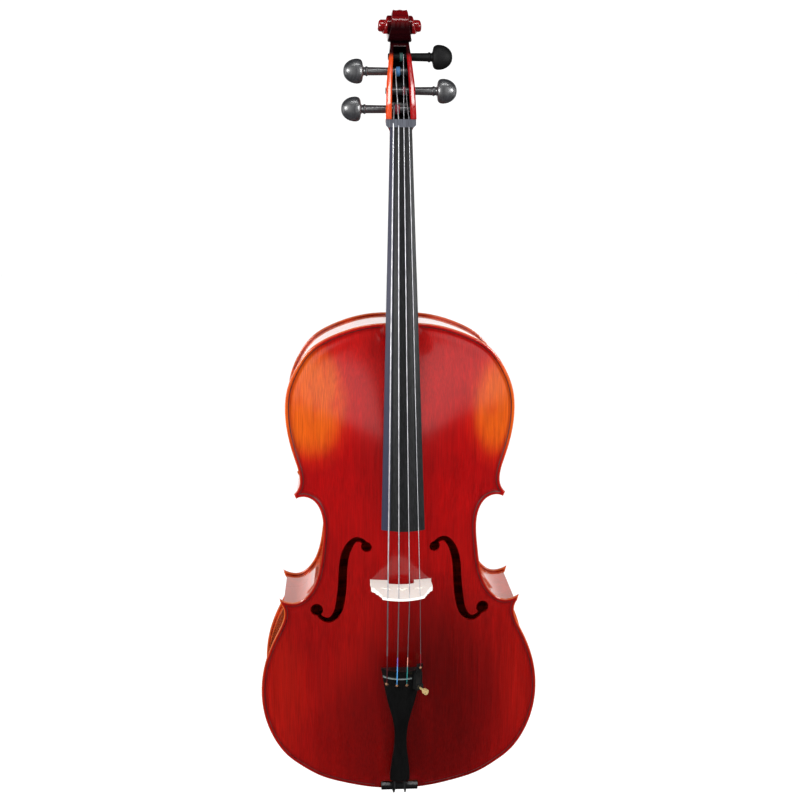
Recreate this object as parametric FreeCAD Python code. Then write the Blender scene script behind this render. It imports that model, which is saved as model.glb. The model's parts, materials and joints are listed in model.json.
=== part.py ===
import FreeCAD, Part
import math
import os

V = FreeCAD.Vector

# Full-size cello. X points to the treble side, -Y to the front (strings), +Z up along the body.
# The origin is the lowest point of the endpin tip, on the endpin's axis. All sizes are in millimetres.

# Body
RIB_HEIGHT = 120.0
RIB_HALF = RIB_HEIGHT / 2
EDGE_THICK = 4.8
EDGE_Y = RIB_HALF + EDGE_THICK
OVERHANG = 4.0
RIB_THICK = 2.0
LINING_THICK = 2.5
LINING_TALL = 15.0
BODY_BOTTOM = 32.5
BODY_TOP = 787.5
BODY_MID = (BODY_BOTTOM + BODY_TOP) / 2
BODY_HALF = (BODY_TOP - BODY_BOTTOM) / 2
RIB_BOTTOM = BODY_BOTTOM + OVERHANG
FRONT_ARCH = 22.2
BACK_ARCH = 20.0
PLATE_THICK = 4.5
INNER_START = 1.0
BUTTON_RADIUS = 14.0
BUTTON_Z = 792.0

# Right half of the plate outline, from the top centre down to the bottom centre.
UPPER_BOUT = [(0, 787.5), (52, 785.5), (97, 772), (133, 751), (156, 720), (168.5, 689), (172, 660),
              (169, 624), (160, 587), (152.8, 562), (152, 545), (160.6, 528.5)]
WAIST = [(157.5, 521.5), (144, 524), (132.5, 519), (121.5, 503), (117, 475), (119.5, 441),
         (127, 397), (143, 366), (160, 354.8), (174, 355.5), (186, 361)]
LOWER_BOUT = [(183.5, 351.5), (179, 338), (183, 320), (194.3, 296.5), (207.5, 264), (214.5, 235),
              (217, 205), (213, 166), (200, 128), (176, 93), (155, 76), (126, 58), (93, 46.4),
              (50, 36.5), (0, 32.5)]

# Sound holes: the middle line of the slot with its width, and the two round eyes.
HOLE_LINE = [(52.5, 450), (57.5, 456.8), (66, 458.5), (77, 449), (86, 424), (88.6, 390),
             (92.5, 356), (99.5, 336), (111, 327.5), (121.5, 331), (127, 340)]
HOLE_WIDTH = [6, 7, 8, 10.5, 12.8, 13.2, 13, 11, 8.5, 7, 6]
HOLE_EYES = [((52, 448), 8.0), ((128.5, 343), 9.5)]

PURFLING_IN = 4.6
PURFLING_WIDE = 1.4
PURFLING_DEEP = 1.6

# Neck, fingerboard and head
NUT_LOW = 1067.0
NUT_TOP = 1078.0
NUT_HALF = 21.3
BOARD_END = 496.6
BOARD_TOP_NUT = -61.0
BOARD_TOP_END = -151.5
BOARD_EDGE = 11.0
BOARD_HALF_NUT = 15.6
BOARD_HALF_END = 31.5
BOARD_RADIUS = 60.0
HEEL_LOW = 774.0
NECK_DEEP_NUT = 17.0
NECK_DEEP_HEEL = 22.0
SCROLL_Y = -8.0
SCROLL_Z = 1210.0
SCROLL_STEPS = [(25.0, 10.5), (20.5, 15.5), (15.5, 20.5), (11.0, 26.0), (8.0, 31.3)]

# Tuning pegs: side of the head, axis height and depth, where the head starts, thin end,
# string's place on the shaft
PEGS = {
    "c": {"side": -1, "z": 1093.0, "y": -35.0, "head": 56.5, "end": 22.2, "wind_x": -9.3},
    "a": {"side": 1, "z": 1119.0, "y": -27.0, "head": 53.5, "end": 21.2, "wind_x": 8.0},
    "g": {"side": -1, "z": 1146.6, "y": -18.0, "head": 53.0, "end": 19.0, "wind_x": -6.6},
    "d": {"side": 1, "z": 1167.3, "y": -11.0, "head": 48.0, "end": 16.8, "wind_x": 5.4},
}
PEG_FIT = 0.05
PEG_HEAD_LONG = 28.5
PEG_HEAD_RADIUS = 17.5
PEG_HEAD_HALF = 10.0
PEG_COLLAR = 6.8
PEG_COLLAR_LONG = 7.0
PEG_BIG = 6.0
PEG_SMALL = 5.0

# Strings: radius, place across the nut, the bridge and the tailpiece
STRINGS = {
    "c": {"radius": 0.95, "nut": -11.0, "bridge": -23.5, "tail": -22.5},
    "g": {"radius": 0.75, "nut": -3.7, "bridge": -7.8, "tail": -7.5},
    "d": {"radius": 0.55, "nut": 3.7, "bridge": 7.8, "tail": 7.5},
    "a": {"radius": 0.45, "nut": 11.0, "bridge": 23.5, "tail": 22.5},
}
STRING_GAP = 0.4
WIND_TURNS = 4

# Bridge
BRIDGE_Z = 391.0
BRIDGE_LEAN = 11.0
BRIDGE_TOP = -174.5
BRIDGE_FOOT = 10.0
BRIDGE_CROWN = 3.2
BRIDGE_EDGE = [(46.5, -84.5), (45.5, -95), (46, -116), (44.5, -122), (40.5, -126),
               (39.5, -134), (36, -140), (34.5, -148), (31.5, -155)]
FOOT_INNER = 20.0
LEG_TOP = -103.0
FOOT_LOW = -66.0

# Tailpiece: height, width, then the place of its arched top and its thickness
TAIL_SECTIONS = [(267, 63, 12), (238, 53, 12), (212, 43, 12), (177, 26, 12), (145, 18.6, 12),
                 (103, 23.7, 12), (56, 31, 11)]
TAIL_TOP_Z = 272.0
TAIL_TOP_Y = -131.0
TAIL_SLOPE = 0.2217
TAIL_RADIUS = 42.0
FRET_Z = 254.5
KEYHOLE_Z = 241.0
KEYHOLE_RADIUS = 3.4
BALL_RADIUS = 2.6

# Fine tuner, in its own frame: it stands on the tailpiece and leans outwards
TUNER_X = 21.5
TUNER_Z = 251.0
TUNER_LEAN = 30.0
PIVOT_Y = -6.5
PIVOT_Z = 9.0
SCREW_Z = -10.0

# Saddle, endpin and tail cord
SADDLE_HALF = 29.0
SADDLE_TOP = 45.0
CORD_RADIUS = 1.3
CORD_LOOP = 15.6
CORD_Z = 28.5
PLUG_BORE = 5.05
ROD_RADIUS = 5.0
ROD_TOP = 500.0
TIP_TOP = 13.0
TIP_NOSE = 6.0
TIP_RADIUS = 7.5
FERRULE_LOW = 14.0
FERRULE_TOP = 24.0


def save(name, shape):
    shape.exportStep("parts/" + name + ".step")


def box(x0, x1, y0, y1, z0, z1):
    return Part.makeBox(x1 - x0, y1 - y0, z1 - z0, V(x0, y0, z0))


def rod(start, end, radius):
    return Part.makeCylinder(radius, (end - start).Length, start, end - start)


def mirrored(shape):
    return shape.mirror(V(0, 0, 0), V(1, 0, 0))


def fuse_all(shapes):
    return shapes[0].multiFuse(shapes[1:]).removeSplitter()


# A face drawn in the front view (x, z), pushed from y0 to y1.
def front_prism(points, y0, y1):
    wire = Part.makePolygon([V(x, y0, z) for x, z in points + points[:1]])
    return Part.Face(wire).extrude(V(0, y1 - y0, 0))


# A face drawn in the side view (y, z), pushed across the middle by half a width each way.
def side_prism(points, half):
    wire = Part.makePolygon([V(-half, y, z) for y, z in points + points[:1]])
    return Part.Face(wire).extrude(V(2 * half, 0, 0))


def spline(points):
    curve = Part.BSplineCurve()
    curve.interpolate([V(x, 0, z) for x, z in points])
    return curve


# The curve moved towards the middle of the body, square to itself.
def inset_curve(curve, inset):
    first, last = curve.FirstParameter, curve.LastParameter
    count = 60
    points = []
    for i in range(count + 1):
        u = first + (last - first) * i / count
        along = curve.tangent(u)[0]
        inward = V(along.z, 0, -along.x)
        point = curve.value(u) + inward * inset
        if abs(point.x) < 2:
            point.x = 0
        points.append(point)
    moved = Part.BSplineCurve()
    moved.interpolate(points)
    return moved


# The three curves of the right half, trimmed where they cross at the corners.
def half_curves(inset):
    curves = [spline(UPPER_BOUT), spline(WAIST), spline(LOWER_BOUT)]
    if inset == 0:
        return curves
    curves = [inset_curve(curve, inset) for curve in curves]
    for upper, lower in ((curves[0], curves[1]), (curves[1], curves[2])):
        crossing = upper.intersectCC(lower)
        if crossing:
            point = V(crossing[-1].X, crossing[-1].Y, crossing[-1].Z)
            upper.segment(upper.FirstParameter, upper.parameter(point))
            lower.segment(lower.parameter(point), lower.LastParameter)
    return curves


def outline_face(inset):
    edges = []
    previous = None
    for curve in half_curves(inset):
        if previous and previous.EndPoint.distanceToPoint(curve.StartPoint) > 0.01:
            edges.append(Part.makeLine(previous.EndPoint, curve.StartPoint))
        edges.append(curve.toShape())
        previous = curve
    edges += [mirrored(edge) for edge in edges]
    return Part.Face(Part.Wire(Part.__sortEdges__(edges)))


def body_prism(inset, y0, y1):
    face = outline_face(inset)
    face.translate(V(0, y0, 0))
    return face.extrude(V(0, y1 - y0, 0))


# Half the width of the arching at a height: two bouts with a waist between them.
def arch_half_width(z):
    reach = 150.0 if z > 450 else 128.0
    waist = math.exp(-abs((z - 450) / reach) ** 2.3)
    return 219 - 0.045 * (z - 200) - 88.5 * waist


def arch_level(x, z, height, spread):
    along = (z - BODY_MID) / BODY_HALF
    out = math.sqrt((x / arch_half_width(z)) ** 2 + along ** 6) * spread
    return height * (0.5 + 0.5 * math.cos(math.pi * min(out, 1)))


# Everything beyond an arched surface: side is -1 for the front, +1 for the back.
def arch_tool(side, base, height, spread, reach):
    rows = []
    for i in range(21):
        x = -240 + 24 * i
        heights = [0 + 25 * k for k in range(34)]
        rows.append([V(x, side * (base + arch_level(x, z, height, spread)), z) for z in heights])
    surface = Part.BSplineSurface()
    surface.interpolate(rows)
    return surface.toShape().extrude(V(0, side * reach, 0))


def outer_tool(side):
    height = FRONT_ARCH if side < 0 else BACK_ARCH
    return arch_tool(side, EDGE_Y, height, 1.04, 60)


# The hollow under a plate; its surface starts inside the ribs' plane, so the margin stays flat.
def inner_tool(side):
    height = FRONT_ARCH if side < 0 else BACK_ARCH
    depth = EDGE_Y - PLATE_THICK - RIB_HALF + INNER_START + height
    return arch_tool(side, RIB_HALF - INNER_START, depth, 1.05, -200)


def solid_plate(side):
    blank = body_prism(0, side * RIB_HALF, side * (RIB_HALF + 45))
    return blank.cut(outer_tool(side))


def sound_hole():
    middle = spline(HOLE_LINE)
    left, right = [], []
    for (x, z), width in zip(HOLE_LINE, HOLE_WIDTH):
        along = middle.tangent(middle.parameter(V(x, 0, z)))[0]
        across = V(along.z, 0, -along.x) * (width / 2)
        left.append(V(x, 0, z) + across)
        right.append(V(x, 0, z) - across)
    edges = []
    for points in (left, right):
        curve = Part.BSplineCurve()
        curve.interpolate(points)
        edges.append(curve.toShape())
    edges.append(Part.makeLine(left[0], right[0]))
    edges.append(Part.makeLine(left[-1], right[-1]))
    face = Part.Face(Part.Wire(Part.__sortEdges__(edges)))
    face.translate(V(0, -110, 0))
    slot = face.extrude(V(0, 60, 0))
    for (x, z), radius in HOLE_EYES:
        slot = slot.fuse(Part.makeCylinder(radius, 60, V(x, -110, z), V(0, 1, 0)))
    return slot


def purfling(side):
    floor = side * (EDGE_Y - PURFLING_DEEP)
    out = side * (EDGE_Y + 10)
    ring = body_prism(PURFLING_IN, floor, out)
    return ring.cut(body_prism(PURFLING_IN + PURFLING_WIDE, floor, out))


def button():
    disc = Part.makeCylinder(BUTTON_RADIUS, EDGE_THICK, V(0, RIB_HALF, BUTTON_Z), V(0, 1, 0))
    return disc.fuse(box(-BUTTON_RADIUS, BUTTON_RADIUS, RIB_HALF, EDGE_Y, 775, BUTTON_Z))


# Strips that follow the outline between two insets, one for each bout of the right half.
def strips(outside, inside, y0, y1):
    shapes = []
    for outer, inner in zip(half_curves(outside), half_curves(inside)):
        ends = [Part.makeLine(outer.EndPoint, inner.EndPoint),
                Part.makeLine(inner.StartPoint, outer.StartPoint)]
        wire = Part.Wire(Part.__sortEdges__([outer.toShape(), inner.toShape()] + ends))
        face = Part.Face(wire)
        face.translate(V(0, y0, 0))
        shapes.append(face.extrude(V(0, y1 - y0, 0)))
    return shapes


def corner_blocks():
    inside = body_prism(OVERHANG + RIB_THICK, -RIB_HALF, RIB_HALF)
    upper = front_prism([(117, 506), (138, 570), (200, 570), (200, 506)], -RIB_HALF, RIB_HALF)
    lower = front_prism([(115, 392), (205, 392), (205, 310), (168, 296)], -RIB_HALF, RIB_HALF)
    right = [inside.common(upper), inside.common(lower)]
    return right + [mirrored(block) for block in right]


def end_blocks():
    inside = body_prism(OVERHANG + RIB_THICK, -EDGE_Y + 1, EDGE_Y - 1)
    hollow = inner_tool(-1).common(inner_tool(1))
    level = box(-100, 100, -RIB_HALF, RIB_HALF, 0, BODY_TOP)
    blocks = []
    for half, low, high in ((58, 742, BODY_TOP), (48, 0, 74)):
        block = inside.common(box(-half, half, -EDGE_Y, EDGE_Y, low, high))
        blocks.append(fuse_all([block.common(level), block.common(hollow)]))
    return blocks


# The curved underside of the fingerboard's arch: how far its edge lies behind its middle.
def board_drop(half):
    return BOARD_RADIUS - math.sqrt(BOARD_RADIUS ** 2 - half ** 2)


def board_wire(z, half, top):
    edge = top + board_drop(half)
    facet = -0.22 * half
    facet_y = top + board_drop(facet)
    under = edge + BOARD_EDGE
    corners = [V(-half, edge + 0.8, z), V(-half, under, z), V(half, under, z), V(half, edge, z)]
    lines = [Part.makeLine(a, b) for a, b in zip(corners, corners[1:])]
    middle = V((half + facet) / 2, top + board_drop((half + facet) / 2), z)
    arch = Part.Arc(corners[3], middle, V(facet, facet_y, z)).toShape()
    flat = Part.makeLine(V(facet, facet_y, z), corners[0])
    return Part.Wire(lines + [arch, flat])


def fingerboard():
    low = board_wire(BOARD_END, BOARD_HALF_END, BOARD_TOP_END)
    high = board_wire(NUT_LOW, BOARD_HALF_NUT, BOARD_TOP_NUT)
    return Part.makeLoft([low, high], True, True)


# Width and place of the glued face between the neck and the fingerboard.
def board_half_at(z):
    share = (z - BOARD_END) / (NUT_LOW - BOARD_END)
    return BOARD_HALF_END + (BOARD_HALF_NUT - BOARD_HALF_END) * share


def board_under_at(z):
    low = BOARD_TOP_END + board_drop(BOARD_HALF_END) + BOARD_EDGE
    high = BOARD_TOP_NUT + board_drop(BOARD_HALF_NUT) + BOARD_EDGE
    return low + (high - low) * (z - BOARD_END) / (NUT_LOW - BOARD_END)


def neck_wire(z, deep):
    half = board_half_at(z)
    top = board_under_at(z)
    curve = Part.BSplineCurve()
    curve.interpolate([V(-half, top, z), V(-0.93 * half, top + 0.4 * deep, z),
                       V(-0.6 * half, top + 0.82 * deep, z), V(0, top + deep, z),
                       V(0.6 * half, top + 0.82 * deep, z), V(0.93 * half, top + 0.4 * deep, z),
                       V(half, top, z)])
    return Part.Wire([curve.toShape(), Part.makeLine(V(half, top, z), V(-half, top, z))])


def heel():
    top_low = board_under_at(HEEL_LOW)
    top_high = board_under_at(850)
    back = Part.BSplineCurve()
    back.interpolate([V(-30, top_high + NECK_DEEP_HEEL, 850), V(-30, -56, 832), V(-30, -36, 819),
                      V(-30, 10, 808), V(-30, RIB_HALF, 804)])
    corners = [V(-30, RIB_HALF, 804), V(-30, RIB_HALF, HEEL_LOW), V(-30, top_low, HEEL_LOW),
               V(-30, top_high, 850), V(-30, top_high + NECK_DEEP_HEEL, 850)]
    lines = [Part.makeLine(a, b) for a, b in zip(corners, corners[1:])]
    profile = Part.Face(Part.Wire([back.toShape()] + lines)).extrude(V(60, 0, 0))
    front = board_half_at(HEEL_LOW)
    taper = [(-front, top_low), (front, top_low), (13, RIB_HALF), (-13, RIB_HALF)]
    wire = Part.makePolygon([V(x, y, HEEL_LOW) for x, y in taper + taper[:1]])
    wedge = Part.Face(wire).extrude(V(0, 0, 90))
    return profile.common(wedge)


def pegbox():
    side = [(-48, 1056), (-48, NUT_TOP), (-60, NUT_TOP), (-42, 1127), (-20, 1184), (-16, 1200),
            (14, 1205), (11, 1180), (3, 1150), (-10, 1110), (-20, 1080), (-31, 1056)]
    front = [(15.8, 1056), (15.8, 1064), (21.6, 1071), (21.8, 1083), (20.1, 1129), (15.5, 1170), (13.7, 1182),
             (15, 1190), (12, 1205)]
    front += [(-x, z) for x, z in reversed(front)]
    block = side_prism(side, 25).common(front_prism(front, -70, 30))
    hollow_side = [(-70, NUT_TOP), (-34, NUT_TOP), (-27, NUT_TOP + 3), (-16, 1110), (-4, 1150), (3, 1178),
                   (-30, 1181), (-70, 1181)]
    hollow_front = [(13.5, NUT_TOP - 1), (12, 1129), (9.6, 1170), (9.2, 1182)]
    hollow_front += [(-x, z) for x, z in reversed(hollow_front)]
    hollow = side_prism(hollow_side, 20).common(front_prism(hollow_front, -80, 30))
    return block.cut(hollow)


def scroll():
    turns = []
    for radius, half in SCROLL_STEPS:
        turns.append(Part.makeCylinder(radius, 2 * half, V(-half, SCROLL_Y, SCROLL_Z), V(1, 0, 0)))
    throat = side_prism([(-26, 1196), (-24, 1188), (-10, 1186), (-10, 1200)], 15)
    return fuse_all(turns + [throat])


def neck():
    shaft = Part.makeLoft([neck_wire(850, NECK_DEEP_HEEL), neck_wire(960, 19.5),
                           neck_wire(NUT_TOP, NECK_DEEP_NUT)], True, False)
    block = fuse_all([shaft, heel(), pegbox(), scroll()])
    for peg in PEGS.values():
        block = block.cut(peg_shaft(peg, PEG_FIT))
    return block


# A peg's tapered shaft, which narrows from the collar to the far cheek.
def peg_shaft(peg, grow):
    side = peg["side"]
    collar_x = peg["head"] - PEG_COLLAR_LONG
    start = V(side * collar_x, peg["y"], peg["z"])
    length = collar_x + peg["end"]
    return Part.makeCone(PEG_BIG + grow, PEG_SMALL + grow, length, start, V(-side, 0, 0))


def peg_radius_at(peg, x):
    collar_x = peg["head"] - PEG_COLLAR_LONG
    share = (collar_x - peg["side"] * x) / (collar_x + peg["end"])
    return PEG_BIG + (PEG_SMALL - PEG_BIG) * share


def peg_shape(peg):
    side, head_x = peg["side"], peg["head"]
    tip = V(side * (head_x - PEG_COLLAR_LONG), peg["y"], peg["z"])
    collar = Part.makeCylinder(PEG_COLLAR, PEG_COLLAR_LONG + 4, tip, V(side, 0, 0))
    centre = V(side * (head_x + PEG_HEAD_LONG - PEG_HEAD_RADIUS), peg["y"], peg["z"])
    ball = Part.makeSphere(PEG_HEAD_RADIUS, centre)
    middle = side * (head_x + PEG_HEAD_LONG / 2)
    half_long = PEG_HEAD_LONG / 2
    slab = box(middle - half_long, middle + half_long, peg["y"] - PEG_HEAD_HALF,
               peg["y"] + PEG_HEAD_HALF, peg["z"] - 20, peg["z"] + 20)
    return fuse_all([peg_shaft(peg, 0), collar, ball.common(slab)])


# Turns of string on a peg, laid side by side next to the place where the string arrives.
def winding(name):
    peg = PEGS[name]
    radius = STRINGS[name]["radius"]
    outward = 1 if peg["wind_x"] > 0 else -1
    turns = []
    for i in range(WIND_TURNS):
        x = peg["wind_x"] - outward * (2 * radius + STRING_GAP + 1.9 * radius * i)
        ring = peg_radius_at(peg, x) + 0.95 * radius
        turns.append(Part.makeTorus(ring, radius, V(x, peg["y"], peg["z"]), V(1, 0, 0)))
    return fuse_all(turns).cut(peg_shaft(peg, 0))


# A round cord along straight runs, with a tangent arc at each inner point.
def cord(points, bend, radius):
    path = []
    start = points[0]
    for before, here, after in zip(points, points[1:], points[2:]):
        into = (here - before).normalize()
        out = (after - here).normalize()
        turn = into.getAngle(out)
        back = bend * math.tan(turn / 2)
        first = here - into * back
        last = here + out * back
        toward = (out - into).normalize()
        middle = here + toward * (bend / math.cos(turn / 2) - bend)
        path.append(Part.makeLine(start, first))
        path.append(Part.Arc(first, middle, last).toShape())
        start = last
    path.append(Part.makeLine(start, points[-1]))
    ring = Part.makeCircle(radius, points[0], points[1] - points[0])
    return Part.Wire(path).makePipeShell([Part.Wire(ring)], True, False)


def tail_top(x, z):
    middle = TAIL_TOP_Y + (TAIL_TOP_Z - z) * TAIL_SLOPE
    return middle + TAIL_RADIUS - math.sqrt(TAIL_RADIUS ** 2 - x ** 2)


def nut_top(x):
    return BOARD_TOP_NUT - 0.6 + board_drop(abs(x))


def bridge_top(x):
    return BRIDGE_TOP + x ** 2 / 75 + 0.07 * x


def string_points(name):
    string, peg = STRINGS[name], PEGS[name]
    radius = string["radius"]
    x = string["tail"]
    tail = V(x, tail_top(x, KEYHOLE_Z) + 3.5, KEYHOLE_Z)
    fret = V(x, tail_top(x, FRET_Z) - 1.6, FRET_Z)
    if name == "a":
        tail = tuner_place(V(0, -11.7, 23.5))
        fret = tuner_place(V(0, -12.7, 29.5))
    bridge = V(string["bridge"], bridge_top(string["bridge"]), BRIDGE_Z + BRIDGE_LEAN)
    nut_front = V(string["nut"], nut_top(string["nut"]), NUT_LOW + 1)
    nut = V(string["nut"], nut_top(string["nut"]) + 0.6, NUT_TOP - 2)
    ring = peg_radius_at(peg, peg["wind_x"]) + radius + STRING_GAP
    run = V(0, peg["y"] - nut.y, peg["z"] - nut.z)
    lift = math.atan2(run.z, run.y) - math.acos(ring / run.Length)
    end = V(peg["wind_x"], peg["y"] - ring * math.cos(lift), peg["z"] - ring * math.sin(lift))
    return [tail, fret, bridge, nut_front, nut, end]


def string_shape(name):
    return cord(string_points(name), 2.5, STRINGS[name]["radius"])


def nut_shape():
    outline = [(NUT_HALF - 3, NUT_LOW), (NUT_HALF, NUT_LOW + 3), (NUT_HALF, NUT_TOP)]
    outline += [(-x, z) for x, z in reversed(outline)]
    block = front_prism(outline, -75, board_under_at(NUT_LOW))
    crown = Part.makeCylinder(BOARD_RADIUS, 40, V(0, BOARD_TOP_NUT - 1.2 + BOARD_RADIUS, 1055))
    return block.common(crown)


def bridge_shape(belly):
    right = [V(x, y, 0) for x, y in BRIDGE_EDGE]
    left = [V(-x, y, 0) for x, y in BRIDGE_EDGE]
    crown = Part.BSplineCurve()
    crown.interpolate([V(x, bridge_top(x) - 0.8, 0) for x in (31, 23.5, 8, -8, -23.5, -31)])
    arch = Part.Arc(V(-FOOT_INNER, LEG_TOP, 0), V(0, LEG_TOP - 4, 0), V(FOOT_INNER, LEG_TOP, 0))
    feet = [V(46.5, FOOT_LOW, 0), V(FOOT_INNER, FOOT_LOW, 0), V(FOOT_INNER, LEG_TOP, 0)]
    edges = [crown.toShape(), arch.toShape()]
    edges.append(Part.makePolygon([crown.value(crown.FirstParameter)] + right[::-1] + feet))
    edges.append(Part.makePolygon([crown.value(crown.LastParameter)] + left[::-1]
                                  + [V(-p.x, p.y, 0) for p in feet]))
    loose = [edge for piece in edges for edge in piece.Edges]
    face = Part.Face(Part.Wire(Part.__sortEdges__(loose)))
    face.translate(V(0, 0, BRIDGE_Z - BRIDGE_FOOT / 2))
    blank = face.extrude(V(0, 0, BRIDGE_FOOT + BRIDGE_LEAN))
    half_foot, half_crown = BRIDGE_FOOT / 2, BRIDGE_CROWN / 2
    wedge = side_prism([(FOOT_LOW, BRIDGE_Z - half_foot), (FOOT_LOW, BRIDGE_Z + half_foot),
                        (BRIDGE_TOP - 4, BRIDGE_Z + BRIDGE_LEAN + half_crown),
                        (BRIDGE_TOP - 4, BRIDGE_Z + BRIDGE_LEAN - half_crown)], 60)
    shape = blank.common(wedge)
    openings = [Part.makeCylinder(4.5, 40, V(0, -133, BRIDGE_Z - 20)),
                Part.makeCylinder(3.0, 40, V(-5, -128, BRIDGE_Z - 20)),
                Part.makeCylinder(3.0, 40, V(5, -128, BRIDGE_Z - 20))]
    for side in (-1, 1):
        for x, y, radius in ((20, -130, 3.0), (25, -126.5, 3.8), (30, -124, 2.6)):
            openings.append(Part.makeCylinder(radius, 40, V(side * x, y, BRIDGE_Z - 20)))
    return shape.cut(fuse_all(openings)).cut(belly)


def tail_wire(z, width, thick):
    half = width / 2
    left = V(-half, tail_top(half, z) + 1.5, z)
    right = V(half, tail_top(half, z) + 1.5, z)
    under = tail_top(0, z) + thick
    low = max(under, left.y + 1.5)
    top = Part.Arc(left, V(0, tail_top(0, z), z), right).toShape()
    lines = [Part.makeLine(right, V(half, low, z)), Part.makeLine(V(half, low, z), V(-half, low, z)),
             Part.makeLine(V(-half, low, z), left)]
    return Part.Wire([top] + lines)


def keyhole(x):
    radius = KEYHOLE_RADIUS
    hole = Part.makeCylinder(radius, 50, V(x, -150, KEYHOLE_Z), V(0, 1, 0))
    slot = box(x - 1.2, x + 1.2, -150, -100, KEYHOLE_Z, KEYHOLE_Z + 7)
    return hole.fuse(slot)


def tailpiece():
    shape = Part.makeLoft([tail_wire(*section) for section in TAIL_SECTIONS], True, False)
    for name in ("c", "g", "d"):
        shape = shape.cut(keyhole(STRINGS[name]["tail"]))
    for x in (-8, 8):
        shape = shape.cut(ferrule_rod(x, 77, 88, 2.5))
        shape = shape.cut(box(x - 2.5, x + 2.5, -84, -60, 77, 88))
    return shape


# The thin strip that the strings bend over, let into the tailpiece's arched face.
def tailpiece_fret():
    rim = Part.makeCylinder(TAIL_RADIUS + 0.9, 1.8, V(0, TAIL_TOP_Y + 15 * TAIL_SLOPE + TAIL_RADIUS,
                                                      FRET_Z - 0.9))
    core = Part.makeCylinder(TAIL_RADIUS - 2.0, 1.8, V(0, TAIL_TOP_Y + 15 * TAIL_SLOPE + TAIL_RADIUS,
                                                       FRET_Z - 0.9))
    return rim.cut(core).common(box(-28.5, 15.0, -160, -100, 200, 300))


def tuner_place(point):
    lean = math.radians(TUNER_LEAN)
    x = TUNER_X + point.x * math.cos(lean) - point.y * math.sin(lean)
    y = tail_top(TUNER_X, TUNER_Z) + point.x * math.sin(lean) + point.y * math.cos(lean)
    return V(x, y, TUNER_Z + point.z)


def tuner_move(shape):
    turned = shape.rotated(V(0, 0, 0), V(0, 0, 1), TUNER_LEAN)
    return turned.translated(V(TUNER_X, tail_top(TUNER_X, TUNER_Z), TUNER_Z))


def tuner_frame():
    base = box(-5.6, 5.6, -1.6, 0, -14, 15)
    cheeks = [box(4.4, 5.6, -9, -1.6, -14, 14), box(-5.6, -4.4, -9, -1.6, -14, 14)]
    boss = box(-5.6, 5.6, -12, -9, -13, -5)
    pin = rod(V(-4.4, PIVOT_Y, PIVOT_Z), V(4.4, PIVOT_Y, PIVOT_Z), 1.2)
    stem = rod(V(0, 0, -2), V(0, 15, -2), 2.4)
    bore = rod(V(0, -13, SCREW_Z), V(0, -8, SCREW_Z), 1.75)
    return fuse_all([base, boss, pin, stem] + cheeks).cut(bore)


def tuner_lever():
    side = [(-8.2, -14), (-5.2, -14), (-4.6, 4), (-4.2, 14), (-6.0, 20), (-8.5, 29), (-13.5, 29),
            (-12.5, 25), (-9.5, 15), (-8.2, 5)]
    arm = side_prism(side, 3.9)
    eye = rod(V(-5, PIVOT_Y, PIVOT_Z), V(5, PIVOT_Y, PIVOT_Z), 1.25)
    slot = box(-1.1, 1.1, -20, -9.2, 20, 34)
    pocket = rod(V(0, -20, 23.5), V(0, -8.2, 23.5), 3.4)
    return arm.cut(eye).cut(slot).cut(pocket)


def tuner_screw():
    shaft = rod(V(0, -8.6, SCREW_Z), V(0, -24, SCREW_Z), 1.7)
    knob = rod(V(0, -23, SCREW_Z), V(0, -28, SCREW_Z), 4.4)
    neck_ring = rod(V(0, -20, SCREW_Z), V(0, -23, SCREW_Z), 2.6)
    return fuse_all([shaft, knob, neck_ring])


def clamp_nut():
    return rod(V(0, 9.5, -2), V(0, 13.8, -2), 5.0).cut(rod(V(0, 9, -2), V(0, 16, -2), 2.4))


def saddle():
    profile = [(-RIB_HALF, SADDLE_TOP), (-67, SADDLE_TOP), (-70.5, 42), (-71.5, 38), (-70, 34),
               (-66, 31.8), (-RIB_HALF, 31.8)]
    return side_prism(profile, SADDLE_HALF)


def cord_points():
    right = [V(8, -83.3, 84), V(8, -74, 38), V(9, -69.5, CORD_Z), V(CORD_LOOP, -12, CORD_Z),
             V(CORD_LOOP, CORD_LOOP, CORD_Z)]
    return right + [V(-p.x, p.y, p.z) for p in reversed(right)]


def tail_cord():
    return cord(cord_points(), 4.5, CORD_RADIUS)


# A short rod around one strand of the tail cord.
def ferrule_rod(x, low, high, radius):
    slope = (-83.3 + 74) / (84 - 38)
    start = V(x, -74 + slope * (low - 38), low)
    return rod(start, V(x, -74 + slope * (high - 38), high), radius)


def cord_ferrules():
    shapes = []
    for x in (-8, 8):
        shapes.append(ferrule_rod(x, 77, 83.5, 2.4).cut(tail_cord()))
    return shapes


def endpin_plug():
    taper = Part.makeCone(13.0, 12.0, 40, V(0, 0, RIB_BOTTOM))
    groove = Part.makeCylinder(14.2, 8.0, V(0, 0, RIB_BOTTOM - 12))
    flange = Part.makeCylinder(17.0, 4.0, V(0, 0, RIB_BOTTOM - 4))
    lip = Part.makeCylinder(17.0, 2.5, V(0, 0, FERRULE_TOP))
    bore = Part.makeCylinder(PLUG_BORE, 80, V(0, 0, 10))
    return fuse_all([taper, groove, flange, lip]).cut(bore)


def endpin_ferrule():
    sleeve = Part.makeCylinder(9.0, FERRULE_TOP - FERRULE_LOW, V(0, 0, FERRULE_LOW))
    boss = rod(V(0, 0, 19), V(0, -12, 19), 4.2)
    bore = Part.makeCylinder(PLUG_BORE, 30, V(0, 0, 5))
    thread = rod(V(0, 0, 19), V(0, -20, 19), 2.55)
    return sleeve.fuse(boss).cut(bore).cut(thread)


def endpin_screw():
    shaft = rod(V(0, -5.4, 19), V(0, -17, 19), 2.5)
    grip = rod(V(0, -16, 19), V(0, -20.5, 19), 3.6)
    wing = box(-7, 7, -28, -20, 17.4, 20.6)
    return fuse_all([shaft, grip, wing])


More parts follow.
